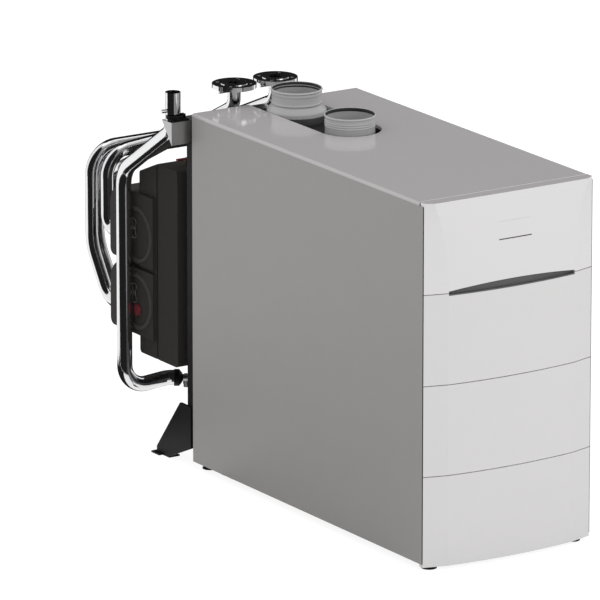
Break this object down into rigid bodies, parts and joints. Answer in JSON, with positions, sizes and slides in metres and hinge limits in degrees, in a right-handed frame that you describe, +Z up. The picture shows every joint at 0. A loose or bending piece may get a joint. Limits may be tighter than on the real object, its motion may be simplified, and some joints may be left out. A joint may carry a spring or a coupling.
{
  "type": "boiler",
  "caption": "Tall floor-standing condensing boiler with bowed front panels, two duct collars on top and a rear exchanger block with looped pipes.",
  "frame": {"origin": "middle of the bounding box on the floor", "axes": "+Z up, the control side faces -Y, the pipes stand at +Y"},
  "size_m": [0.808, 2.4, 1.428],
  "materials": {
    "side_grey": "fine satin powder coat",
    "lid_grey": "fine satin powder coat",
    "front_light": "smooth satin enamel",
    "cover_light": "satin moulded",
    "dark_trim": "fine grain",
    "frame_steel": "satin powder coat",
    "galvanised": "zinc coated",
    "plated_steel": "bright zinc",
    "polished_tube": "polished stainless",
    "black_foam": "moulded foam",
    "black_paint": "satin",
    "cast_alloy": "sand cast",
    "cast_pump": "painted cast",
    "brass": "machined",
    "seal_rubber": "matte",
    "grey_plastic": "fine grain",
    "red_handle": "moulded",
    "board_green": "laminate",
    "display_glass": "polished",
    "white_plastic": "moulded",
    "yellow_pipe": "satin",
    "collar_grey": "satin"
  },
  "bodies": {
    "casing": {"base_frame": "frame_steel", "levelling_feet": "black_paint", "left_side_panel": "side_grey", "right_side_panel": "side_grey", "top_panel": "lid_grey", "rear_panel": "galvanised", "front_frame": "galvanised", "handle_recess": "dark_trim", "control_box": "dark_trim", "control_display": "display_glass", "control_board": "board_green", "heat_exchanger": "cast_alloy", "burner_door": "cast_alloy", "door_bolts": "plated_steel", "burner": "plated_steel", "fan_housing": "cast_alloy", "gas_air_mixer": "grey_plastic", "gas_valve": "cast_alloy", "gas_pipe": "yellow_pipe", "condensate_sump": "grey_plastic", "flue_pipe": "grey_plastic", "collar_plate": "dark_trim", "flue_collar": "collar_grey", "air_collar": "collar_grey", "collar_seals": "seal_rubber", "rear_unions": "brass", "inner_supply_pipe": "plated_steel", "inner_return_pipe": "plated_steel", "boiler_supply": "polished_tube", "boiler_return": "polished_tube", "flow_riser": "polished_tube", "return_riser": "polished_tube", "expansion_line": "polished_tube", "drain_valve": "brass", "rear_frame": "black_paint", "frame_feet": "black_paint", "header_bracket": "plated_steel", "line_clamp": "black_paint", "exchanger_shell_front": "black_foam", "exchanger_shell_rear": "black_foam", "upper_pump_cover": "black_foam", "lower_pump_cover": "black_foam", "plate_exchanger": "plated_steel", "upper_pump_body": "cast_pump", "lower_pump_body": "cast_pump", "shell_clips": "plated_steel", "purge_valve": "brass"},
    "cover": {"control_cover": "cover_light"},
    "upper_panel": {"upper_front_panel": "front_light"},
    "middle_panel": {"middle_front_panel": "front_light"},
    "lower_panel": {"lower_front_panel": "front_light"},
    "fan_wheel": {"fan_runner": "grey_plastic"},
    "upper_pump_wheel": {"upper_pump_runner": "grey_plastic"},
    "lower_pump_wheel": {"lower_pump_runner": "grey_plastic"},
    "knob": {"selector_knob": "grey_plastic"},
    "menu_key": {"menu_button": "white_plastic"},
    "rocker": {"power_switch": "dark_trim"},
    "drain_handle": {"drain_lever": "red_handle"},
    "purge_handle": {"purge_lever": "red_handle"},
    "shutoff_handle": {"shutoff_knob": "red_handle"}
  },
  "joints": [
    {"name": "cover_hinge", "type": "hinge", "parent": "casing", "child": "cover", "pos_m": [0.044, -1.133, 1.344], "axis": [-1, 0, 0], "range_deg": [0, 80]},
    {"name": "upper_panel_pull", "type": "slide", "parent": "casing", "child": "upper_panel", "axis": [0, -1, 0], "range_m": [0, 0.06]},
    {"name": "middle_panel_pull", "type": "slide", "parent": "casing", "child": "middle_panel", "axis": [0, -1, 0], "range_m": [0, 0.06]},
    {"name": "lower_panel_pull", "type": "slide", "parent": "casing", "child": "lower_panel", "axis": [0, -1, 0], "range_m": [0, 0.06]},
    {"name": "fan_spin", "type": "hinge", "parent": "casing", "child": "fan_wheel", "pos_m": [-0.03, -0.85, 0.931], "axis": [0, 1, 0], "continuous": true},
    {"name": "upper_pump_spin", "type": "hinge", "parent": "casing", "child": "upper_pump_wheel", "pos_m": [-0.28, 0.756, 0.769], "axis": [1, 0, 0], "continuous": true},
    {"name": "lower_pump_spin", "type": "hinge", "parent": "casing", "child": "lower_pump_wheel", "pos_m": [-0.23, 0.756, 0.493], "axis": [1, 0, 0], "continuous": true},
    {"name": "knob_turn", "type": "hinge", "parent": "casing", "child": "knob", "pos_m": [0.114, -1.155, 1.17613], "axis": [0, -1, 0], "range_deg": [-150, 150]},
    {"name": "menu_press", "type": "slide", "parent": "casing", "child": "menu_key", "axis": [0, 1, 0], "range_m": [0, 0.0015], "stiffness_N_per_m": 400, "springref_m": -0.001},
    {"name": "power_rock", "type": "hinge", "parent": "casing", "child": "rocker", "pos_m": [0.269, -1.146, 1.17613], "axis": [1, 0, 0], "range_deg": [-8, 8]},
    {"name": "drain_turn", "type": "hinge", "parent": "casing", "child": "drain_handle", "pos_m": [-0.12281, 0.7257, 0.231], "axis": [-0.5432, -0.8396, 0], "range_deg": [0, 90]},
    {"name": "purge_turn", "type": "hinge", "parent": "casing", "child": "purge_handle", "pos_m": [-0.232, 0.533, 1.13], "axis": [0, 0, -1], "range_deg": [0, 90]},
    {"name": "shutoff_turn", "type": "hinge", "parent": "casing", "child": "shutoff_handle", "pos_m": [-0.331, 0.724, 0.525], "axis": [1, 0, 0], "range_deg": [0, 90]}
  ]
}
